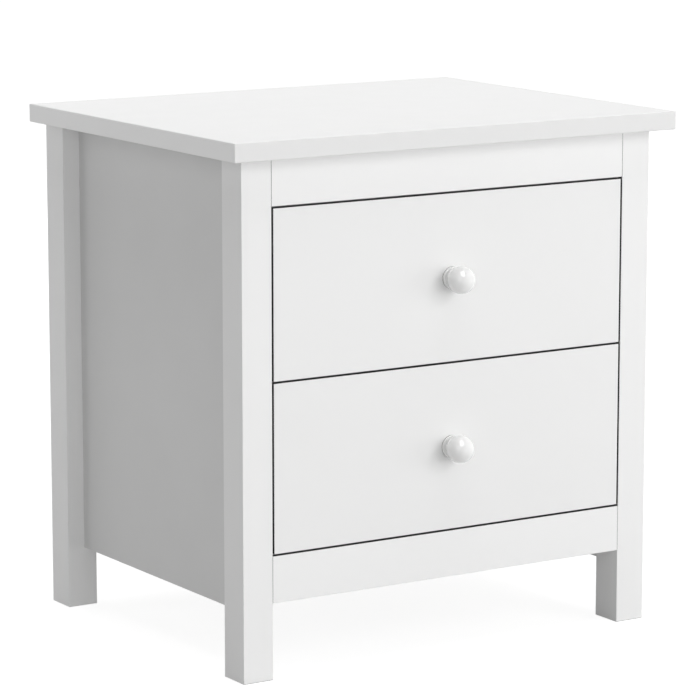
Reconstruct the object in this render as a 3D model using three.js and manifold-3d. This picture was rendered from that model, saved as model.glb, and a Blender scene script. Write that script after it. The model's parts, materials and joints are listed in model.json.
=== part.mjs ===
// A two-drawer nightstand: four legs with side panels and rails let in between them, an
// overhanging top, and two drawers that close flush with the legs and run on roller slides.
// Millimetres, +Z up, the drawers open towards -Y, and the origin is on the floor under the
// middle of the whole piece, knobs included.

import * as THREE from 'three';
import { mergeVertices } from 'three/addons/utils/BufferGeometryUtils.js';
import Module from 'manifold-3d';

const wasm = await Module();
wasm.setup();

// ---------------------------------------------------------------- driving dimensions

const HEIGHT = 510;
const TOP_WIDTH = 500;
const TOP_DEPTH = 400;
const TOP_THICKNESS = 18;
const SIDE_OVERHANG = 18;
const FRONT_OVERHANG = 19;
const REAR_OVERHANG = 1;

const LEG_WIDTH = 32;
const LEG_DEPTH = 35;
const SIDE_PANEL_RECESS = 18;
const SIDE_PANEL_LIFT = 60;
const RAIL_HEIGHT = 45;
const RAIL_THICKNESS = 18;
const BOTTOM_RAIL_LIFT = 73.5;
const BACK_THICKNESS = 3;
const BACK_INSET = 5;

const DRAWER_GAP = 2;
const FRONT_THICKNESS = 16;
const SLIDE_SPACE = 12.5;
const SLIDE_LENGTH = 350;
const BOX_HEIGHT = 120;
const BOX_WALL = 12;
const BOX_RISE = 13.5;
const BOTTOM_THICKNESS = 3;
const BOTTOM_RISE = 8;
const GROOVE_DEPTH = 6;

const SHEET = 1.25;
const CHANNEL_SETBACK = 2;
const CHANNEL_FLANGE = 10.5;
const CHANNEL_DROP = 4.75;
const CHANNEL_HEADROOM = 0.75;
const SPARE_HOLE_RADIUS = 2.25;
const ROLLER_RADIUS = 10;
const ROLLER_WIDTH = 6.5;
const ROLLER_BORE = 2.5;
const ROLLER_END = 14;
const ROLLING_GAP = 0.25;
const AXLE_RADIUS = 2.1;
const RIVET_RADIUS = 4;
const RIVET_HEIGHT = 0.75;
const STOP_RISE = 3;
const STOP_THICKNESS = 2;
const STOP_CLEARANCE = 2;
const STOP_SIDE_INSET = 1.25;
const STOP_LIP_INSET = 0.5;
const RUNNER_UNDER = 11;
const RUNNER_OVER = 8.25;
const TRAVEL = 260;

const KNOB_PROJECTION = 29;
const KNOB_BALL_RADIUS = 13.5;
const KNOB_BASE_RADIUS = 11;
const KNOB_BASE_THICKNESS = 3;
const KNOB_NECK_RADIUS = 6;
const KNOB_BORE_DEPTH = 10;
const KNOB_EDGE = 0.75;
const KNOB_SCREW_RADIUS = 2;
const KNOB_SCREW_HEAD_RADIUS = 4.5;
const KNOB_SCREW_HEAD_HEIGHT = 2.5;

const BRACKET_LEG = 25;
const BRACKET_WIDTH = 16;
const BRACKET_SHEET = 1.5;
const BRACKET_SCREW_RADIUS = 1.75;
const BRACKET_SCREW_LENGTH = 12;
const BRACKET_SCREW_HEAD_RADIUS = 3.75;
const BRACKET_SCREW_HEAD_HEIGHT = 2.25;
const BRACKET_FROM_LEG = 40;

const SCREW_CLEARANCE = 0.5;

// how far a cutting tool runs past a face, and a shank into its own head
const PAST = 1;
const ROUND_STEPS = 24;
const FINE_STEPS = 32;
const COARSE_STEPS = 16;
const KNOB_ARC_STEPS = 8;

// ---------------------------------------------------------------- planes they lead to

const DEPTH = TOP_DEPTH - FRONT_OVERHANG + KNOB_PROJECTION;
const TOP_BACK = DEPTH / 2;
const TOP_FRONT = TOP_BACK - TOP_DEPTH;
const FACE = TOP_FRONT + FRONT_OVERHANG;
const LEG_BACK = TOP_BACK - REAR_OVERHANG;
const LEG_TOP = HEIGHT - TOP_THICKNESS;
const LEG_OUTER = TOP_WIDTH / 2 - SIDE_OVERHANG;
const LEG_INNER = LEG_OUTER - LEG_WIDTH;
const PANEL_OUTER = LEG_OUTER - SIDE_PANEL_RECESS;
const BACK_REAR = LEG_BACK - BACK_INSET;
const BACK_FRONT = BACK_REAR - BACK_THICKNESS;

const OPENING_BOTTOM = BOTTOM_RAIL_LIFT + RAIL_HEIGHT;
const OPENING_TOP = LEG_TOP - RAIL_HEIGHT;
const FRONT_HEIGHT = (OPENING_TOP - OPENING_BOTTOM - 3 * DRAWER_GAP) / 2;
const FRONT_HALF_WIDTH = LEG_INNER - DRAWER_GAP;
const BOX_FRONT = FACE + FRONT_THICKNESS;
const BOX_BACK = BOX_FRONT + SLIDE_LENGTH;
const BOX_OUTER = LEG_INNER - SLIDE_SPACE;
const BOX_INNER = BOX_OUTER - BOX_WALL;
const CHANNEL_FRONT = BOX_FRONT + CHANNEL_SETBACK;
const CHANNEL_HEIGHT = 2 * ROLLER_RADIUS + 2 * ROLLING_GAP + 3 * SHEET + CHANNEL_HEADROOM;

// ---------------------------------------------------------------- materials

function finish(name, color, roughness, metalness) {
  return new THREE.MeshStandardMaterial({ name, color, roughness, metalness });
}

const lacquer = finish('white_lacquer', 0xf2f2f1, 0.42, 0);
const melamine = finish('drawer_board', 0xecebe8, 0.5, 0);
const hardboard = finish('hardboard', 0xe4e2dd, 0.6, 0);
const epoxySteel = finish('epoxy_steel', 0xe9e9e6, 0.4, 0.1);
const nylon = finish('roller_nylon', 0xdedcd3, 0.45, 0);
const gloss = finish('knob_gloss', 0xf6f6f5, 0.12, 0);
const zinc = finish('zinc_steel', 0xb9bcc0, 0.35, 0.9);

// ---------------------------------------------------------------- solids and meshes

/** A box between two limits along each axis, given in either order. */
function block([xa, xb], [ya, yb], [za, zb]) {
  const size = [Math.abs(xb - xa), Math.abs(yb - ya), Math.abs(zb - za)];
  return new THREE.BoxGeometry(...size).translate((xa + xb) / 2, (ya + yb) / 2, (za + zb) / 2);
}

/** A round bar along an axis, from one coordinate to another, about a line at (first, second). */
function bar(axis, radius, [from, to], [first, second], steps = ROUND_STEPS) {
  const geometry = new THREE.CylinderGeometry(radius, radius, Math.abs(to - from), steps);
  const middle = (from + to) / 2;
  if (axis === 'x') {
    return geometry.rotateZ(Math.PI / 2).translate(middle, first, second);
  }
  if (axis === 'y') {
    return geometry.translate(first, middle, second);
  }
  return geometry.rotateX(Math.PI / 2).translate(first, second, middle);
}

/** The manifold solid of a closed geometry. */
function solid(geometry) {
  const bare = geometry.clone();
  bare.deleteAttribute('normal');
  bare.deleteAttribute('uv');
  const merged = mergeVertices(bare, 1e-5);
  return new wasm.Manifold(new wasm.Mesh({
    numProp: 3,
    vertProperties: merged.attributes.position.array,
    triVerts: new Uint32Array(merged.index.array),
  }));
}

/** A geometry joined with others and then cut by others. */
function shaped(geometry, { add = [], cut = [] }) {
  let body = solid(geometry);
  for (const extra of add) {
    body = body.add(solid(extra));
  }
  for (const tool of cut) {
    body = body.subtract(solid(tool));
  }
  const { vertProperties, triVerts } = body.getMesh();
  const result = new THREE.BufferGeometry();
  result.setAttribute('position', new THREE.BufferAttribute(vertProperties, 3));
  result.setIndex(new THREE.BufferAttribute(triVerts, 1));
  result.computeVertexNormals();
  return result;
}

const nightstand = new THREE.Group();

function place(name, geometry, material) {
  const mesh = new THREE.Mesh(geometry, material);
  mesh.name = name;
  nightstand.add(mesh);
}

const SIDES = [{ side: 'left', sign: -1 }, { side: 'right', sign: 1 }];

// ---------------------------------------------------------------- carcass

/** The places where an angle bracket holds the top to a side panel. */
const BRACKETS = SIDES.flatMap(({ side, sign }) => [
  { name: `front_${side}_bracket`, sign, y: FACE + LEG_DEPTH + BRACKET_FROM_LEG },
  { name: `rear_${side}_bracket`, sign, y: LEG_BACK - LEG_DEPTH - BRACKET_FROM_LEG },
]);
const BRACKET_HOLE = BRACKET_LEG * 0.6;

/** The hole that a bracket screw leaves in the board it bites into. */
function pilotHole(axis, span, centre) {
  return bar(axis, BRACKET_SCREW_RADIUS + SCREW_CLEARANCE, span, centre);
}

function topPanel() {
  const board = block([-TOP_WIDTH / 2, TOP_WIDTH / 2], [TOP_FRONT, TOP_BACK], [LEG_TOP, HEIGHT]);
  const span = [LEG_TOP - PAST, LEG_TOP + BRACKET_SCREW_LENGTH];
  const holes = BRACKETS.map(({ sign, y }) => (
    pilotHole('z', span, [sign * (LEG_INNER - BRACKET_HOLE), y])
  ));
  place('top_panel', shaped(board, { cut: holes }), lacquer);
}

function legs() {
  const groove = [BACK_FRONT, BACK_REAR];
  for (const { side, sign } of SIDES) {
    const across = [sign * LEG_INNER, sign * LEG_OUTER];
    place(`front_${side}_leg`, block(across, [FACE, FACE + LEG_DEPTH], [0, LEG_TOP]), lacquer);
    const rear = block(across, [LEG_BACK - LEG_DEPTH, LEG_BACK], [0, LEG_TOP]);
    const grooveAcross = [sign * (LEG_INNER - PAST), sign * (LEG_INNER + GROOVE_DEPTH)];
    const slot = block(grooveAcross, groove, [BOTTOM_RAIL_LIFT, LEG_TOP + PAST]);
    place(`rear_${side}_leg`, shaped(rear, { cut: [slot] }), lacquer);
  }
}

function sidePanels() {
  for (const { side, sign } of SIDES) {
    const board = block(
      [sign * LEG_INNER, sign * PANEL_OUTER],
      [FACE + LEG_DEPTH, LEG_BACK - LEG_DEPTH],
      [SIDE_PANEL_LIFT, LEG_TOP],
    );
    const reach = [sign * (LEG_INNER - PAST), sign * (LEG_INNER + BRACKET_SCREW_LENGTH)];
    const holes = BRACKETS.filter((bracket) => bracket.sign === sign).map(({ y }) => (
      pilotHole('x', reach, [y, LEG_TOP - BRACKET_HOLE])
    ));
    place(`${side}_side_panel`, shaped(board, { cut: holes }), lacquer);
  }
}

function rails() {
  const across = [-LEG_INNER, LEG_INNER];
  const front = [FACE, FACE + RAIL_THICKNESS];
  const rear = [BACK_FRONT - RAIL_THICKNESS, BACK_FRONT];
  const low = [BOTTOM_RAIL_LIFT, OPENING_BOTTOM];
  const high = [OPENING_TOP, LEG_TOP];
  place('front_top_rail', block(across, front, high), lacquer);
  place('front_bottom_rail', block(across, front, low), lacquer);
  place('rear_top_rail', block(across, rear, high), lacquer);
  place('rear_bottom_rail', block(across, rear, low), lacquer);
}

function backPanel() {
  const reach = LEG_INNER + GROOVE_DEPTH;
  const board = block([-reach, reach], [BACK_FRONT, BACK_REAR], [BOTTOM_RAIL_LIFT, LEG_TOP]);
  place('back_panel', board, hardboard);
}

/** A pan-head wood screw along x or z, its head resting on a surface at `seat`. */
function bracketScrew(axis, seat, into, centre) {
  const crown = seat - BRACKET_SCREW_HEAD_HEIGHT * into;
  const head = bar(axis, BRACKET_SCREW_HEAD_RADIUS, [crown, seat], centre);
  const ends = [seat - PAST * into, seat + BRACKET_SCREW_LENGTH * into];
  const shank = bar(axis, BRACKET_SCREW_RADIUS, ends, centre, COARSE_STEPS);
  return shaped(head, { add: [shank] });
}

/** Steel angle brackets under the top, each with one screw up and one screw sideways. */
function topBrackets() {
  for (const { name, sign, y } of BRACKETS) {
    const width = [y - BRACKET_WIDTH / 2, y + BRACKET_WIDTH / 2];
    const wall = sign * LEG_INNER;
    const seatX = sign * (LEG_INNER - BRACKET_SHEET);
    const seatZ = LEG_TOP - BRACKET_SHEET;
    const holeX = sign * (LEG_INNER - BRACKET_HOLE);
    const holeZ = LEG_TOP - BRACKET_HOLE;
    const upright = block([wall, seatX], width, [LEG_TOP - BRACKET_LEG, LEG_TOP]);
    const flat = block([wall, sign * (LEG_INNER - BRACKET_LEG)], width, [seatZ, LEG_TOP]);
    const holes = [
      pilotHole('x', [wall + sign * PAST, seatX - sign * PAST], [y, holeZ]),
      pilotHole('z', [seatZ - PAST, LEG_TOP + PAST], [holeX, y]),
    ];
    place(name, shaped(upright, { add: [flat], cut: holes }), zinc);
    place(`${name}_side_screw`, bracketScrew('x', seatX, sign, [y, holeZ]), zinc);
    place(`${name}_top_screw`, bracketScrew('z', seatZ, 1, [holeX, y]), zinc);
  }
}

// ---------------------------------------------------------------- roller slides

/** The level of a slide's two roller axles, for a drawer box whose underside is at boxBottom. */
function axleLevel(boxBottom) {
  return boxBottom - CHANNEL_DROP + SHEET + ROLLING_GAP + ROLLER_RADIUS;
}

/** A fixed axle along x: a stub out of a sheet wall, with a flat rivet head at its free end. */
function rivetedAxle(sign, wall, head, y, z) {
  const inward = Math.sign(head - wall);
  const stub = bar('x', AXLE_RADIUS, [sign * (wall - inward / 2), sign * head], [y, z]);
  const cap = bar('x', RIVET_RADIUS, [sign * (head - inward * RIVET_HEIGHT), sign * head], [y, z]);
  return [stub, cap];
}

/** The side-to-side span of a roller that clears a rivet head at `head`, on the wall's side of it. */
function rollerSpan(sign, wall, head) {
  const inward = Math.sign(head - wall);
  const near = head - inward * (RIVET_HEIGHT + ROLLING_GAP);
  return [sign * near, sign * (near - inward * ROLLER_WIDTH)];
}

function roller(span, y, z) {
  const bore = [Math.min(...span) - PAST, Math.max(...span) + PAST];
  const wheel = bar('x', ROLLER_RADIUS, span, [y, z], FINE_STEPS);
  return shaped(wheel, { cut: [bar('x', ROLLER_BORE, bore, [y, z])] });
}

/** The fixed C-shaped channel on the carcass, with its roller near the front end. */
function channel(level, side, sign, boxBottom) {
  const name = `${level}_${side}_channel`;
  const low = boxBottom - CHANNEL_DROP;
  const high = low + CHANNEL_HEIGHT;
  const ends = [CHANNEL_FRONT, CHANNEL_FRONT + SLIDE_LENGTH];
  const wall = LEG_INNER - SHEET;
  const lip = LEG_INNER - CHANNEL_FLANGE;
  const axleY = CHANNEL_FRONT + ROLLER_END;
  const axleZ = axleLevel(boxBottom);
  const web = block([sign * LEG_INNER, sign * wall], ends, [low, high]);
  const flangeStart = [axleY + ROLLER_END, ends[1]];
  const floor = block([sign * LEG_INNER, sign * lip], flangeStart, [low, low + SHEET]);
  const roof = block([sign * LEG_INNER, sign * lip], ends, [high - SHEET, high]);
  // a ridge across the floor, which the drawer's roller meets at full travel
  const reach = Math.sqrt(ROLLER_RADIUS ** 2 - (ROLLER_RADIUS - STOP_RISE) ** 2);
  const stopBack = BOX_BACK - ROLLER_END - TRAVEL - reach - STOP_CLEARANCE + STOP_THICKNESS / 2;
  const stopAcross = [sign * (wall - STOP_SIDE_INSET), sign * (lip + STOP_LIP_INSET)];
  const stopTop = low + SHEET + STOP_RISE;
  const stop = block(stopAcross, [stopBack - STOP_THICKNESS, stopBack], [low + SHEET / 2, stopTop]);
  const through = [sign * (LEG_INNER + PAST), sign * (wall - PAST)];
  const spareHoles = [0.2, 0.56, 0.74].map((share) => {
    const centre = [CHANNEL_FRONT + share * SLIDE_LENGTH, axleZ];
    return bar('x', SPARE_HOLE_RADIUS, through, centre, COARSE_STEPS);
  });
  const axle = rivetedAxle(sign, wall, lip, axleY, axleZ);
  place(name, shaped(web, { add: [floor, roof, stop, ...axle], cut: spareHoles }), epoxySteel);
  place(`${name}_roller`, roller(rollerSpan(sign, wall, lip), axleY, axleZ), nylon);
}

/** The runner screwed to a drawer side: a foot under it, a web, a tread outwards, and a roller. */
function runner(level, side, sign, boxBottom) {
  const name = `${level}_drawer_${side}_runner`;
  const ends = [BOX_FRONT, BOX_BACK];
  const axleY = BOX_BACK - ROLLER_END;
  const axleZ = axleLevel(boxBottom);
  const tread = axleZ + ROLLER_RADIUS + ROLLING_GAP;
  const outer = BOX_OUTER + SHEET;
  const web = block([sign * BOX_OUTER, sign * outer], ends, [boxBottom - SHEET, tread + SHEET]);
  const footAcross = [sign * (BOX_OUTER - RUNNER_UNDER), sign * outer];
  const foot = block(footAcross, ends, [boxBottom - SHEET, boxBottom]);
  const treadAcross = [sign * BOX_OUTER, sign * (outer + RUNNER_OVER)];
  const top = block(treadAcross, ends, [tread, tread + SHEET]);
  const head = outer + RUNNER_OVER + RIVET_HEIGHT;
  const axle = rivetedAxle(sign, outer, head, axleY, axleZ);
  place(name, shaped(web, { add: [foot, top, ...axle] }), epoxySteel);
  const span = rollerSpan(sign, outer, head);
  place(`${name.replace('runner', 'roller')}`, roller(span, axleY, axleZ), nylon);
}

// ---------------------------------------------------------------- drawers

/** A round knob turned about its screw, which enters a blind bore in its base. */
function knob(level, z) {
  const bore = KNOB_SCREW_RADIUS + SCREW_CLEARANCE;
  const ballCentre = KNOB_PROJECTION - KNOB_BALL_RADIUS;
  const neckAngle = Math.asin(KNOB_NECK_RADIUS / KNOB_BALL_RADIUS);
  const outline = new THREE.Path();
  outline.moveTo(0, KNOB_BORE_DEPTH);
  outline.lineTo(bore, KNOB_BORE_DEPTH);
  outline.lineTo(bore, 0);
  outline.lineTo(KNOB_BASE_RADIUS, 0);
  outline.lineTo(KNOB_BASE_RADIUS, KNOB_BASE_THICKNESS - KNOB_EDGE);
  outline.lineTo(KNOB_BASE_RADIUS - KNOB_EDGE, KNOB_BASE_THICKNESS);
  outline.lineTo(KNOB_NECK_RADIUS, KNOB_BASE_THICKNESS);
  outline.absarc(0, ballCentre, KNOB_BALL_RADIUS, neckAngle - Math.PI / 2, Math.PI / 2, false);
  const points = outline.getPoints(KNOB_ARC_STEPS);
  points[points.length - 1].x = 0;
  const turned = new THREE.LatheGeometry(points, FINE_STEPS).rotateX(Math.PI).translate(0, FACE, z);
  place(`${level}_knob`, turned, gloss);
}

/** A machine screw from inside the drawer into the knob. */
function knobScrew(level, z) {
  const shank = [BOX_FRONT + PAST, FACE - KNOB_BORE_DEPTH + PAST];
  const seat = [BOX_FRONT, BOX_FRONT + KNOB_SCREW_HEAD_HEIGHT];
  const head = bar('y', KNOB_SCREW_HEAD_RADIUS, seat, [0, z]);
  const rod = bar('y', KNOB_SCREW_RADIUS, shank, [0, z]);
  place(`${level}_knob_screw`, shaped(head, { add: [rod] }), zinc);
}

function drawerFront(level, low, boxBottom) {
  const middle = low + FRONT_HEIGHT / 2;
  const across = [-FRONT_HALF_WIDTH, FRONT_HALF_WIDTH];
  const board = block(across, [FACE, BOX_FRONT], [low, low + FRONT_HEIGHT]);
  const grooveReach = BOX_INNER + GROOVE_DEPTH;
  const floorLow = boxBottom + BOTTOM_RISE;
  const groove = block(
    [-grooveReach, grooveReach],
    [BOX_FRONT - GROOVE_DEPTH, BOX_FRONT + PAST],
    [floorLow, floorLow + BOTTOM_THICKNESS],
  );
  const through = [FACE - PAST, BOX_FRONT + PAST];
  const hole = bar('y', KNOB_SCREW_RADIUS + SCREW_CLEARANCE, through, [0, middle]);
  place(`${level}_drawer_front`, shaped(board, { cut: [groove, hole] }), lacquer);
  knob(level, middle);
  knobScrew(level, middle);
}

function drawerBox(level, boxBottom) {
  const ends = [BOX_FRONT, BOX_BACK];
  const floorLow = boxBottom + BOTTOM_RISE;
  const floorHigh = floorLow + BOTTOM_THICKNESS;
  const grooveReach = BOX_INNER + GROOVE_DEPTH;
  const boxTop = boxBottom + BOX_HEIGHT;
  for (const { side, sign } of SIDES) {
    const wall = block([sign * BOX_INNER, sign * BOX_OUTER], ends, [boxBottom, boxTop]);
    const grooveAcross = [sign * (BOX_INNER - PAST), sign * grooveReach];
    const groove = block(grooveAcross, [ends[0] - PAST, ends[1] + PAST], [floorLow, floorHigh]);
    place(`${level}_drawer_${side}_side`, shaped(wall, { cut: [groove] }), melamine);
  }
  const back = block([-BOX_INNER, BOX_INNER], [BOX_BACK - BOX_WALL, BOX_BACK], [floorHigh, boxTop]);
  place(`${level}_drawer_back`, back, melamine);
  const floorEnds = [BOX_FRONT - GROOVE_DEPTH, BOX_BACK];
  const floor = block([-grooveReach, grooveReach], floorEnds, [floorLow, floorHigh]);
  place(`${level}_drawer_bottom`, floor, hardboard);
}

function drawer(level, low) {
  const boxBottom = low + BOX_RISE;
  drawerFront(level, low, boxBottom);
  drawerBox(level, boxBottom);
  for (const { side, sign } of SIDES) {
    channel(level, side, sign, boxBottom);
    runner(level, side, sign, boxBottom);
  }
}

// ---------------------------------------------------------------- assembly

topPanel();
legs();
sidePanels();
rails();
backPanel();
topBrackets();
drawer('lower', OPENING_BOTTOM + DRAWER_GAP);
drawer('upper', OPENING_BOTTOM + 2 * DRAWER_GAP + FRONT_HEIGHT);

export default nightstand;
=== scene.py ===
"""The looks of a white two-drawer nightstand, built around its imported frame.

Metres, +Z up, the front faces -Y.
"""

import json
import math

import bmesh
import bpy
from mathutils import Matrix, Vector


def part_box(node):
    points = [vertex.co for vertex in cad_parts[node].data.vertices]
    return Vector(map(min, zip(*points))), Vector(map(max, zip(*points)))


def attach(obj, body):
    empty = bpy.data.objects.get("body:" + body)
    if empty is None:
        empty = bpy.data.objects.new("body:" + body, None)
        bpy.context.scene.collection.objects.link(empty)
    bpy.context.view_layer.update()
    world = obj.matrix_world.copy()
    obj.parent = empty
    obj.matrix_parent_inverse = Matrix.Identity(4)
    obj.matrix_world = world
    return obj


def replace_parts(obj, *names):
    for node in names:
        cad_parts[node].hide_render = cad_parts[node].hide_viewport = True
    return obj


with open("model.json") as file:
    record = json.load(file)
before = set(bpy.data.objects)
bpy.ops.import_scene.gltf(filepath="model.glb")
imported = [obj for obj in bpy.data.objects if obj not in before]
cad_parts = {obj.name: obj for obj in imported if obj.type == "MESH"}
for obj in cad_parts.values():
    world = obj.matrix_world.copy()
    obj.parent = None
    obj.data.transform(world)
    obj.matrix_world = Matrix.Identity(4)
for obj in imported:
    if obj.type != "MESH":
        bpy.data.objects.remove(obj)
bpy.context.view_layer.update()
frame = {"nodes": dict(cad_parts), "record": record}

MM = 0.001
LEVELS = ("upper", "lower")
SIDES = {"left": -1, "right": 1}
BODY_OF = {n: b for b, ns in frame["record"]["behaviour"]["bodies"].items() for n in ns}
SLOT_OF = {s["node"]: s["material_slot"] for s in frame["record"]["subparts"]}
FRONT_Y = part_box("upper_drawer_front")[0].y

# how far behind the front plane the painted shade in the gaps goes, and the distance over which it ends
# there
PAINTED_SHADE_DEPTH = 6 * MM
PAINTED_SHADE_FADE = 2 * MM

# ---------------------------------------------------------------- node materials


class Surface:
    """A principled material, with small helpers that add nodes in front of its shader."""

    def __init__(self, name, **values):
        self.material = bpy.data.materials.new(name)
        self.material.use_nodes = True
        self.nodes = self.material.node_tree.nodes
        self.links = self.material.node_tree.links
        self.shader = self.nodes["Principled BSDF"]
        for socket, value in values.items():
            self.shader.inputs[socket.replace("_", " ")].default_value = value
        self.place = self.nodes.new("ShaderNodeTexCoord").outputs["Object"]

    def node(self, kind, inputs=None, **settings):
        """A new node, with its inputs linked to a socket or set to a value."""
        made = self.nodes.new(kind)
        for key, value in settings.items():
            setattr(made, key, value)
        for key, value in (inputs or {}).items():
            if isinstance(value, bpy.types.NodeSocket):
                self.links.new(value, made.inputs[key])
            else:
                made.inputs[key].default_value = value
        return made

    def stretched(self, x, y, z):
        """Object coordinates scaled along each axis, for grain that runs one way."""
        scaled = self.node("ShaderNodeMapping", {"Vector": self.place, "Scale": (x, y, z)})
        return scaled.outputs["Vector"]

    def noise(self, scale, detail=2.0, roughness=0.5, place=None):
        """Noise with `scale` cells per metre."""
        made = self.node(
            "ShaderNodeTexNoise",
            {
                "Vector": place or self.place,
                "Scale": scale,
                "Detail": detail,
                "Roughness": roughness,
            },
        )
        return made.outputs["Fac"]

    def span(self, value, low, high, from_low=0.3, from_high=0.7):
        """A value moved from one range to another."""
        made = self.node(
            "ShaderNodeMapRange",
            {
                "Value": value,
                "From Min": from_low,
                "From Max": from_high,
                "To Min": low,
                "To Max": high,
            },
        )
        return made.outputs["Result"]

    def times(self, first, second):
        """The product of two values."""
        made = self.node("ShaderNodeMath", {0: first, 1: second}, operation="MULTIPLY")
        return made.outputs["Value"]

    def tinted(self, share, dark, light):
        """A colour between two, by a share from 0 to 1."""
        made = self.node(
            "ShaderNodeMix",
            {"Factor": share, "A": (*dark, 1), "B": (*light, 1)},
            data_type="RGBA",
        )
        return made.outputs["Result"]

    def into(self, socket, value):
        """Links a value to one of the shader's sockets."""
        self.links.new(value, self.shader.inputs[socket])

    def bumps(self, *layers):
        """Relief from (height, depth in metres) layers, laid one over another."""
        normal = None
        for height, depth in layers:
            inputs = {"Height": height, "Distance": depth, "Strength": 1.0}
            if normal is not None:
                inputs["Normal"] = normal
            normal = self.node("ShaderNodeBump", inputs).outputs["Normal"]
        self.into("Normal", normal)


def painted_shade_mask(surface, reach, dark_below, clear_above):
    """A mask for painted shade, from ambient occlusion: 1 on open surfaces, falling to 0 inside the
    mouths of the narrow gaps round the drawers, and kept near the front plane.
    """
    openness = surface.node("ShaderNodeAmbientOcclusion", {"Distance": reach}, samples=16)
    clear = surface.span(openness.outputs["AO"], 0, 1, dark_below, clear_above)
    depth = surface.node("ShaderNodeSeparateXYZ", {"Vector": surface.place}).outputs["Y"]
    fade_from = FRONT_Y + PAINTED_SHADE_DEPTH
    behind = surface.span(depth, 0, 1, fade_from, fade_from + PAINTED_SHADE_FADE)
    lighter = surface.node("ShaderNodeMath", {0: clear, 1: behind}, operation="MAXIMUM")
    return lighter.outputs["Value"]


def white_lacquer(name, tone):
    """Sprayed satin paint over smooth board: faint orange peel, faint mottling, and near-black painted
    shade in narrow gaps and joints.
    """
    lacquer = Surface(name, Specular_IOR_Level=0.45)
    cloud = lacquer.span(lacquer.noise(5, 3), 0, 1)
    open_air = painted_shade_mask(lacquer, reach=6 * MM, dark_below=0.41, clear_above=0.49)
    dark, pale = (tone - 0.008, tone - 0.008, tone - 0.011), (tone, tone, tone - 0.002)
    # near-black painted shade, mixed in where the mask finds a narrow gap or joint
    painted_gap_shade = (0.012, 0.012, 0.012, 1)
    shade = lacquer.node(
        "ShaderNodeMix",
        {"Factor": open_air, "A": painted_gap_shade, "B": lacquer.tinted(cloud, dark, pale)},
        data_type="RGBA",
    )
    lacquer.into("Base Color", shade.outputs["Result"])
    lacquer.into("Roughness", lacquer.span(lacquer.noise(35, 4), 0.4, 0.5))
    lacquer.bumps((lacquer.noise(420, 2), 0.018 * MM), (lacquer.noise(1500, 1), 0.004 * MM))
    return lacquer.material


def drawer_board():
    """Foil-wrapped board of the drawer boxes: off-white, with a fine pressed grain."""
    board = Surface("drawer_board", Specular_IOR_Level=0.4)
    grain = board.noise(900, 3, 0.6, board.stretched(1, 0.06, 1))
    streaks = board.span(grain, 0, 1)
    board.into("Base Color", board.tinted(streaks, (0.79, 0.785, 0.765), (0.83, 0.825, 0.81)))
    board.into("Roughness", board.span(board.noise(60, 3), 0.45, 0.58))
    board.bumps((grain, 0.03 * MM))
    return board.material


def hardboard():
    """Thin painted fibreboard: matte, with a soft mottle and a felted surface."""
    board = Surface("hardboard", Specular_IOR_Level=0.3)
    fibres = board.noise(700, 5, 0.65)
    mottle = board.span(board.noise(28, 4), 0, 1)
    board.into("Base Color", board.tinted(mottle, (0.768, 0.76, 0.742), (0.79, 0.782, 0.765)))
    board.into("Roughness", board.span(fibres, 0.55, 0.75))
    board.bumps((fibres, 0.05 * MM))
    return board.material


def epoxy_steel():
    """Pressed steel under white powder coat, with its pebbled skin."""
    steel = Surface("epoxy_steel", Specular_IOR_Level=0.5)
    pebble = steel.noise(1100, 2)
    cloud = steel.span(steel.noise(30, 3), 0, 1)
    steel.into("Base Color", steel.tinted(cloud, (0.78, 0.78, 0.76), (0.82, 0.82, 0.80)))
    steel.into("Roughness", steel.span(pebble, 0.3, 0.42))
    steel.bumps((pebble, 0.02 * MM))
    return steel.material


def roller_nylon():
    """Moulded nylon, slightly milky, with fine turning marks round the tread."""
    nylon = Surface(
        "roller_nylon", Specular_IOR_Level=0.45, Subsurface_Weight=0.15, Subsurface_Scale=0.002
    )
    rings = nylon.noise(2400, 2, 0.5, nylon.stretched(1, 0.05, 0.05))
    cloud = nylon.span(nylon.noise(120, 2), 0, 1)
    nylon.into("Base Color", nylon.tinted(cloud, (0.72, 0.70, 0.64), (0.78, 0.76, 0.70)))
    nylon.into("Roughness", nylon.span(rings, 0.38, 0.52))
    nylon.bumps((rings, 0.02 * MM))
    return nylon.material


def knob_gloss():
    """Glossy glazed white, with the slow unevenness of a poured coat."""
    gloss = Surface("knob_gloss", Specular_IOR_Level=0.5, Coat_Weight=1.0, Coat_Roughness=0.04)
    cloud = gloss.span(gloss.noise(90, 2), 0, 1)
    gloss.into("Base Color", gloss.tinted(cloud, (0.845, 0.845, 0.84), (0.865, 0.865, 0.86)))
    gloss.into("Roughness", gloss.span(gloss.noise(300, 3), 0.1, 0.16))
    gloss.bumps((gloss.noise(160, 1), 0.03 * MM))
    return gloss.material


def zinc_steel():
    """Zinc-plated steel with fine rolled streaks."""
    zinc = Surface("zinc_steel", Metallic=1.0)
    streaks = zinc.noise(1600, 3, 0.6, zinc.stretched(1, 0.08, 1))
    cloud = zinc.span(zinc.noise(150, 3), 0, 1)
    zinc.into("Base Color", zinc.tinted(cloud, (0.56, 0.57, 0.58), (0.66, 0.67, 0.69)))
    zinc.into("Roughness", zinc.span(streaks, 0.26, 0.4))
    zinc.bumps((streaks, 0.006 * MM))
    return zinc.material


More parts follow.
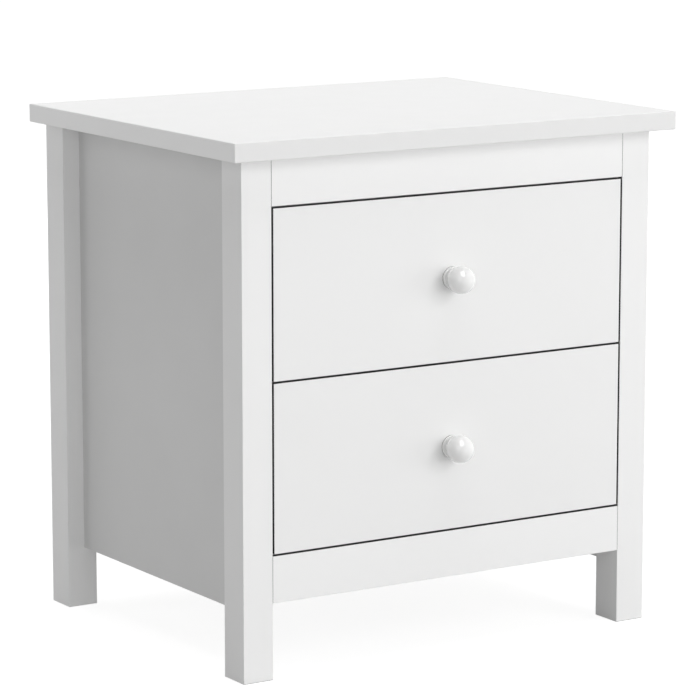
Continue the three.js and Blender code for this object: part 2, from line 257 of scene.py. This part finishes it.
# lit and shaded copies of one white lacquer: each group of boards and each pair of the top's edges gets
# a tone that stands in for how light falls on it
PAINTED_SHADING_TONES = {
    "frame": 0.86,
    "top": 0.86,
    "top_long_edges": 0.772,
    "top_short_edges": 0.925,
    "panels": 0.706,
    "rails": 0.876,
    "fronts": 0.844,
}
SHADED_LACQUERS = {
    group: white_lacquer(f"white_lacquer_{group}", tone) for group, tone in PAINTED_SHADING_TONES.items()
}
FINISHES = {
    "white_lacquer": SHADED_LACQUERS["frame"],
    "drawer_board": drawer_board(),
    "hardboard": hardboard(),
    "epoxy_steel": epoxy_steel(),
    "roller_nylon": roller_nylon(),
    "knob_gloss": knob_gloss(),
    "zinc_steel": zinc_steel(),
}

# ---------------------------------------------------------------- mesh helpers


def shown(name, mesh, body, slot, place=None, finish=None):
    """A piece of the object from a mesh, in its slot's finish or a given one, riding on a body."""
    piece = bpy.data.objects.new(name, mesh)
    bpy.context.scene.collection.objects.link(piece)
    if place is not None:
        piece.matrix_world = place
    if not mesh.materials:
        mesh.materials.append(finish or FINISHES[slot])
    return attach(piece, body)


def smooth_mesh(name, shape, sharp_degrees=35):
    """The mesh of a bmesh, smooth but for edges sharper than an angle."""
    mesh = bpy.data.meshes.new(name)
    bmesh.ops.recalc_face_normals(shape, faces=shape.faces)
    shape.to_mesh(mesh)
    shape.free()
    for polygon in mesh.polygons:
        polygon.use_smooth = True
    mesh.set_sharp_from_angle(angle=math.radians(sharp_degrees))
    return mesh


def cad_solid(node):
    """A CAD node's shape with its triangles joined back into flat faces."""
    shape = bmesh.new()
    shape.from_mesh(frame["nodes"][node].data)
    bmesh.ops.remove_doubles(shape, verts=shape.verts, dist=1e-6)
    bmesh.ops.dissolve_limit(
        shape, angle_limit=math.radians(1), verts=shape.verts, edges=shape.edges
    )
    return shape


def outer_edges(shape, shortest, along):
    """The sharp convex edges of a shape that are longer than a length and run along some axes."""
    return [
        e
        for e in shape.edges
        if e.is_manifold
        and e.is_convex
        and e.calc_length() > shortest
        and e.calc_face_angle() > math.radians(45)
        and any(abs((e.verts[1].co - e.verts[0].co)["xyz".index(a)]) > shortest for a in along)
    ]


def finished(node, radius, shortest=5 * MM, shy=(0, 0, 0), along="xyz", group=None):
    """A CAD node with its outer edges rounded, standing for that node.

    Edges no longer than shortest stay sharp. shy draws the surface back by a distance along each
    axis, which opens a hairline at a joint. along names the axes whose edges are rounded, and
    group picks one of the lacquer's copies, whose tone is painted light or shade.
    """
    shape = cad_solid(node)
    low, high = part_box(node)
    middle, size = (low + high) / 2, high - low
    for vertex in shape.verts:
        for axis in range(3):
            share = (vertex.co[axis] - middle[axis]) / (size[axis] / 2)
            vertex.co[axis] -= share * shy[axis]
    bmesh.ops.bevel(
        shape,
        geom=outer_edges(shape, shortest, along),
        offset=radius,
        offset_type="OFFSET",
        segments=3,
        profile=0.5,
        affect="EDGES",
        clamp_overlap=True,
    )
    finish = SHADED_LACQUERS[group] if group else None
    mesh = smooth_mesh(node, shape)
    piece = shown(node + "_finished", mesh, BODY_OF[node], SLOT_OF[node], finish=finish)
    normals = piece.modifiers.new("face_weighted_normals", "WEIGHTED_NORMAL")
    normals.keep_sharp = True
    normals.weight = 100
    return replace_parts(piece, node)


def spun(outline, steps):
    """(radius, height) points swept round the z axis. A side that doesn't reach it stays open."""
    shape = bmesh.new()
    ring = [shape.verts.new((radius, 0, height)) for radius, height in outline]
    edges = [shape.edges.new(pair) for pair in zip(ring, ring[1:])]
    bmesh.ops.spin(
        shape,
        geom=ring + edges,
        cent=(0, 0, 0),
        axis=(0, 0, 1),
        angle=2 * math.pi,
        steps=steps,
        use_duplicate=False,
    )
    bmesh.ops.remove_doubles(shape, verts=shape.verts, dist=1e-7)
    return shape


def turned(name, outline, steps=64):
    """A closed mesh turned about its z axis."""
    return smooth_mesh(name, spun(outline, steps))


def arc(centre, radius, start, end, steps):
    """Points of a round stretch of an outline, from one angle to another in degrees."""
    angles = [math.radians(start + (end - start) * i / steps) for i in range(steps + 1)]
    return [(centre[0] + radius * math.cos(a), centre[1] + radius * math.sin(a)) for a in angles]


def facing(point, direction):
    """A place at a point whose z axis looks along a direction."""
    turn = Vector(direction).to_track_quat("Z", "Y").to_matrix().to_4x4()
    return Matrix.Translation(point) @ turn


def cross_recess(shape, arm, half_width, height, depth):
    """Closes the round opening on a fastener with a face that has a tapering cross sunk in it."""
    taper = 0.6
    opening = [e for e in shape.edges if e.is_boundary]
    mouth, base = [], []
    for turn in range(4):
        quarter = Matrix.Rotation(turn * math.pi / 2, 3, "Z")
        for x, y in ((arm, -half_width), (arm, half_width), (half_width, half_width)):
            mouth.append(shape.verts.new(quarter @ Vector((x, y, height))))
            base.append(shape.verts.new(quarter @ Vector((x * taper, y * taper, height - depth))))
    ring = [shape.edges.new(pair) for pair in zip(mouth, mouth[1:] + mouth[:1])]
    bmesh.ops.triangle_fill(shape, edges=opening + ring, use_beauty=True)
    for i in range(len(mouth)):
        j = (i + 1) % len(mouth)
        shape.faces.new((mouth[i], mouth[j], base[j], base[i]))
    shape.faces.new(base)


# ---------------------------------------------------------------- fasteners


def screw_head(name, radius, height):
    """A domed head with a flat crown, its seat at z 0, and a cross recess."""
    seat_radius, crown_radius = radius * 0.96, radius * 0.66
    rim = height * 0.35
    crown, steps = math.acos(crown_radius / radius), 8
    outline = [(0, 0), (seat_radius, 0), (radius, rim * 0.3)]
    for i in range(steps + 1):
        a = crown * i / steps
        rise = math.sin(a) / math.sin(crown)
        outline.append((radius * math.cos(a), rim + (height - rim) * rise))
    head = spun(outline, 40)
    arm, half_width, depth = radius * 0.56, radius * 0.13, height * 0.7
    cross_recess(head, arm, half_width, height, depth)
    return smooth_mesh(name, head)


def cam_disc():
    """The face of a cam fitting let into a board, with a rim and a cross recess."""
    radius, sunk = 7.5 * MM, 0.6 * MM
    rim_height, rim_width, slope, floor_height = 0.4 * MM, 1.1 * MM, 0.3 * MM, 0.1 * MM
    outline = [
        (0, -sunk),
        (radius, -sunk),
        (radius, rim_height - 0.25 * MM),
        (radius - slope, rim_height),
        (radius - rim_width, rim_height),
        (radius - rim_width - slope, floor_height),
    ]
    disc = spun(outline, 48)
    arm, half_width, depth = radius * 0.55, radius * 0.12, 0.5 * MM
    cross_recess(disc, arm, half_width, floor_height, depth)
    return smooth_mesh("cam_disc", disc)


def nail_head():
    """A low domed head, its seat at z 0."""
    radius, crown, height = 1.6 * MM, 1.1 * MM, 0.6 * MM
    outline = [(0, 0), (radius, 0), (radius, 0.25 * MM), (crown, 0.5 * MM), (0, height)]
    return turned("nail_head", outline, 24)


KNOB_SCREW_HEIGHT = 2.5 * MM
PAN_HEAD = screw_head("pan_head", 3.6 * MM, 1.9 * MM)
FLAT_HEAD = screw_head("flat_head", 3.4 * MM, 0.55 * MM)
KNOB_SCREW_HEAD = screw_head("knob_screw_head", 4.5 * MM, KNOB_SCREW_HEIGHT)
NAIL_HEAD = nail_head()
CAM_DISC = cam_disc()


def fasten(name, mesh, body, point, direction):
    """A zinc fastener on a body, seated at a point with its face along a direction."""
    return shown(name, mesh, body, "zinc_steel", facing(point, direction))


# ---------------------------------------------------------------- carcass


def shaded_by_facing(board):
    """Gives the narrow faces of a board painted shade and light: a darker tone on its front and back
    edges, a lighter one on its left and right edges.
    """
    square_on = 0.9
    for group in ("top_long_edges", "top_short_edges"):
        board.data.materials.append(SHADED_LACQUERS[group])
    # painted shade on the front and back edges, painted light on the left and right edges
    for polygon in board.data.polygons:
        if abs(polygon.normal.y) > square_on:
            polygon.material_index = 1
        elif abs(polygon.normal.x) > square_on:
            polygon.material_index = 2


def carcass_boards():
    """Top, legs, rails, side panels and back, with a hairline where a rail meets a leg."""
    hairline = (0.27 * MM, 0, 0)
    shaded_by_facing(finished("top_panel", 0.9 * MM, group="top"))
    for end in ("front", "rear"):
        for side in SIDES:
            finished(f"{end}_{side}_leg", 0.5 * MM)
        for rail in ("top", "bottom"):
            finished(f"{end}_{rail}_rail", 0.4 * MM, shy=hairline, group="rails")
    for side in SIDES:
        finished(f"{side}_side_panel", 0.5 * MM, along="y", group="panels")
    finished("back_panel", 0.3 * MM)


def carcass_fittings():
    """Cam fittings in the rails' inner faces, and the nails of the back panel."""
    cam_inset, nail_inset, nails = 34 * MM, 20 * MM, 5
    for end, direction in (("front", 1), ("rear", -1)):
        for rail in ("top", "bottom"):
            low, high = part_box(f"{end}_{rail}_rail")
            y = high.y if direction > 0 else low.y
            height = (low.z + high.z) / 2
            for side, sign in SIDES.items():
                point = (sign * (high.x - cam_inset), y, height)
                name = f"{end}_{rail}_rail_{side}_cam"
                fasten(name, CAM_DISC, "carcass", point, (0, direction, 0))
    back_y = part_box("back_panel")[1].y
    for rail in ("top", "bottom"):
        low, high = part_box(f"rear_{rail}_rail")
        for i in range(nails):
            x = low.x + nail_inset + (high.x - low.x - 2 * nail_inset) * i / (nails - 1)
            point = (x, back_y, (low.z + high.z) / 2)
            fasten(f"back_{rail}_nail_{i + 1}", NAIL_HEAD, "carcass", point, (0, 1, 0))


def brackets():
    """Angle brackets and their screws under the top."""
    head_height = 2.25 * MM
    for end in ("front", "rear"):
        for side, sign in SIDES.items():
            name = f"{end}_{side}_bracket"
            finished(name, 0.3 * MM)
            for use, direction in (("side", (-sign, 0, 0)), ("top", (0, 0, -1))):
                node = f"{name}_{use}_screw"
                low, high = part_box(node)
                middle = (low + high) / 2
                if use == "side":
                    middle.x = (high.x if sign < 0 else low.x) + sign * head_height
                else:
                    middle.z = low.z + head_height
                head = fasten(node + "_head", PAN_HEAD, "carcass", middle, direction)
                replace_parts(head, node)


# ---------------------------------------------------------------- slides


def roller_mesh():
    """A moulded roller on the z axis: rounded tread, recessed faces, hub with a bore."""
    radius, half, bore, hub = 10 * MM, 3.25 * MM, 2.5 * MM, 4.6 * MM
    rim, recess, slope, edge = 1.6 * MM, 0.9 * MM, 0.4 * MM, 0.6 * MM
    side = [(bore, half), (hub, half), (hub + slope, half - recess)]
    side += [(radius - rim - slope, half - recess), (radius - rim, half), (radius - edge, half)]
    side += arc((radius - edge, half - edge), edge, 90, 0, 5)[1:]
    other = [(r, -z) for r, z in reversed(side)]
    return turned("roller", [(bore, -half), *side, *other[:-1], (bore, -half)], 72)


def slides():
    """Channels, runners, rollers and the screws that hold them."""
    roller = roller_mesh()
    for level in LEVELS:
        for side, sign in SIDES.items():
            channel, runner = f"{level}_{side}_channel", f"{level}_drawer_{side}_runner"
            for node in (channel, runner):
                finished(node, 0.35 * MM, shortest=20 * MM)
            for node in (f"{channel}_roller", f"{level}_drawer_{side}_roller"):
                low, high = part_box(node)
                place = facing((low + high) / 2, (1, 0, 0))
                piece = shown(node + "_wheel", roller, BODY_OF[node], "roller_nylon", place)
                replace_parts(piece, node)
            slide_screws(level, side, sign, channel, runner)


def slide_screws(level, side, sign, channel, runner):
    """Screws through a channel's web, and up through a runner's foot."""
    sheet, foot_inset = 1.25 * MM, 5 * MM
    low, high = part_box(channel)
    web = (high.x if sign > 0 else low.x) - sign * sheet
    height = (low.z + high.z) / 2
    for i, share in enumerate((0.11, 0.47, 0.83)):
        point = (web, low.y + share * (high.y - low.y), height)
        fasten(f"{channel}_screw_{i + 1}", FLAT_HEAD, "carcass", point, (-sign, 0, 0))
    low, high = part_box(runner)
    inner = low.x if sign > 0 else high.x
    for i, share in enumerate((0.1, 0.48, 0.86)):
        point = (inner + sign * foot_inset, low.y + share * (high.y - low.y), low.z)
        fasten(f"{runner}_screw_{i + 1}", FLAT_HEAD, f"{level}_drawer", point, (0, 0, -1))


# ---------------------------------------------------------------- drawers


def knob_mesh():
    """A ball on a round foot, turned about z, from the drawer face at z 0."""
    projection, ball, foot, thickness = 29 * MM, 13.5 * MM, 11 * MM, 3 * MM
    edge, undercut, neck = 1.0 * MM, 0.8 * MM, 7.5 * MM
    leave = math.degrees(math.asin(neck / ball)) - 90
    outline = [(0, 0)] + arc((foot - undercut, undercut), undercut, -90, 0, 6)
    outline += arc((foot - edge, thickness - edge), edge, 0, 90, 8)
    outline += [(neck + 0.5 * MM, thickness - 0.05 * MM), (neck, thickness + 0.1 * MM)]
    outline += arc((0, projection - ball), ball, leave, 90, 48)
    outline[-1] = (0, projection)
    return turned("knob", outline, 96)


def knobs():
    """The knobs, and the heads of their screws inside the drawers."""
    mesh = knob_mesh()
    for level in LEVELS:
        body, knob, screw = f"{level}_drawer", f"{level}_knob", f"{level}_knob_screw"
        low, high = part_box(knob)
        foot = ((low.x + high.x) / 2, high.y, (low.z + high.z) / 2)
        piece = shown(knob + "_turned", mesh, body, "knob_gloss", facing(foot, (0, -1, 0)))
        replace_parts(piece, knob)
        low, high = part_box(screw)
        seat = (0, high.y - KNOB_SCREW_HEIGHT, (low.z + high.z) / 2)
        head = fasten(screw + "_head", KNOB_SCREW_HEAD, body, seat, (0, 1, 0))
        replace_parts(head, screw)


def drawer_boxes():
    """The five boards of each drawer and the fittings in its sides."""
    for level in LEVELS:
        body = f"{level}_drawer"
        finished(f"{body}_front", 0.35 * MM, group="fronts")
        for part in ("left_side", "right_side", "back"):
            finished(f"{body}_{part}", 0.5 * MM)
        finished(f"{body}_bottom", 0.2 * MM)
        for side, sign in SIDES.items():
            drawer_side_fittings(level, side, sign)


def drawer_side_fittings(level, side, sign):
    """Cams that pull the front on, and screws through the side into the back."""
    cam_inset, screw_inset = 24 * MM, 6 * MM
    body = f"{level}_drawer"
    low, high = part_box(f"{body}_{side}_side")
    inner, outer = (low.x, high.x) if sign > 0 else (high.x, low.x)
    for i, share in enumerate((0.35, 0.8)):
        height = low.z + share * (high.z - low.z)
        cam = (inner, low.y + cam_inset, height)
        fasten(f"{body}_{side}_cam_{i + 1}", CAM_DISC, body, cam, (-sign, 0, 0))
        screw = (outer, high.y - screw_inset, height)
        fasten(f"{body}_{side}_back_screw_{i + 1}", FLAT_HEAD, body, screw, (sign, 0, 0))


carcass_boards()
carcass_fittings()
brackets()
slides()
drawer_boxes()
knobs()

# ---------------------------------------------------------------- floor, light and camera

AIM = Vector((0, 0, 0.28))

def floor(bounce):
    """A wide pale floor, near white to the eye, which gives back a share of light to the object."""
    seen = 0.27
    near, far = 0.5, 2.5
    shape = bmesh.new()
    bmesh.ops.create_grid(shape, x_segments=1, y_segments=1, size=30)
    piece = bpy.data.objects.new("floor", smooth_mesh("floor", shape))
    bpy.context.scene.collection.objects.link(piece)
    paint = Surface("floor_paint", Specular_IOR_Level=0.0, Roughness=0.9)
    bounced = paint.node("ShaderNodeLightPath").outputs["Is Diffuse Ray"]
    away = paint.node("ShaderNodeVectorMath", {0: paint.place}, operation="LENGTH").outputs["Value"]
    glow = paint.span(away, 0.86, 1.0, near, far)
    paint.into("Base Color", paint.tinted(bounced, (seen,) * 3, (bounce,) * 3))
    paint.into("Emission Strength", paint.times(glow, paint.span(bounced, 1, 0, 0, 1)))
    paint.shader.inputs["Emission Color"].default_value = (1, 1, 1, 1)
    piece.data.materials.append(paint.material)


def softbox(name, azimuth, elevation, distance, width, height, power, mirrored=True, diffused=True):
    """A rectangular light aimed near the middle of the object. Azimuth 0 is straight in front.

    A light that isn't mirrored lights the object without showing in its gloss, and one that
    isn't diffused shows in the gloss only.
    """
    a, e = math.radians(azimuth), math.radians(elevation)
    away = Vector((math.sin(a) * math.cos(e), -math.cos(a) * math.cos(e), math.sin(e)))
    light = bpy.data.lights.new(name, "AREA")
    light.shape = "RECTANGLE"
    light.size, light.size_y = width, height
    light.energy = power
    lamp = bpy.data.objects.new(name, light)
    bpy.context.scene.collection.objects.link(lamp)
    lamp.location = AIM + away * distance
    lamp.rotation_euler = away.to_track_quat("Z", "Y").to_euler()
    lamp.visible_camera = False
    lamp.visible_glossy = mirrored
    lamp.visible_diffuse = diffused


def surroundings(light):
    """An even backdrop that looks white and lights the object at a given strength."""
    world = bpy.data.worlds.new("studio")
    bpy.context.scene.world = world
    world.use_nodes = True
    nodes, links = world.node_tree.nodes, world.node_tree.links
    backdrop = nodes["Background"]
    path = nodes.new("ShaderNodeLightPath")
    strength = nodes.new("ShaderNodeMapRange")
    strength.inputs["To Min"].default_value = 1.0
    strength.inputs["To Max"].default_value = light
    links.new(path.outputs["Is Diffuse Ray"], strength.inputs["Value"])
    links.new(strength.outputs["Result"], backdrop.inputs["Strength"])
    backdrop.inputs["Color"].default_value = (1, 1, 1, 1)


def camera():
    """A long lens from the front left, a little above the top."""
    data = bpy.data.cameras.new("camera")
    data.lens = 179.49
    data.sensor_width = 36
    viewer = bpy.data.objects.new("camera", data)
    bpy.context.scene.collection.objects.link(viewer)
    right_turn, down_tilt = math.radians(32.53), math.radians(10.16)
    level = math.cos(down_tilt)
    forward = Vector((math.sin(right_turn) * level, math.cos(right_turn) * level, -math.sin(down_tilt)))
    viewer.location = (-1.8397, -2.8804, 0.8806)
    viewer.rotation_euler = (-forward).to_track_quat("Z", "Y").to_euler()
    bpy.context.scene.camera = viewer


floor(0.5)
surroundings(0.2)
# azimuth and elevation in degrees, distance, width and height in metres, power in watts
softbox("window", -13, 55, 3.0, 1.3, 2.2, 44, diffused=False)
softbox("overhead", 0, 78, 3.0, 2.2, 1.3, 21.2, mirrored=False)
softbox("high_front", -5.6, 50, 3.0, 1.2, 2.2, 5.4, mirrored=False)
softbox("front", 19, 18, 6.0, 3.2, 3.2, 77, mirrored=False)
softbox("front_right", 34, 30, 3.2, 1.0, 1.0, 12, mirrored=False)
softbox("front_right_low", 55, 6, 2.6, 1.0, 0.9, 9, mirrored=False)
softbox("front_low", 6, 5, 5.6, 4.8, 1.4, 47, mirrored=False)
softbox("right", 92, 14, 2.6, 1.2, 1.6, 13, mirrored=False)
softbox("left_front", -45, 18, 3.0, 1.2, 1.6, 7.7)
softbox("left_rear", -125, 18, 3.0, 1.2, 1.6, 11.4, mirrored=False)
softbox("rear_high", 180, 60, 2.8, 2.0, 1.6, 20.4, mirrored=False)
softbox("rear", 180, 12, 2.8, 2.4, 1.6, 22, mirrored=False)
camera()
bpy.context.scene.view_settings.view_transform = "Standard"
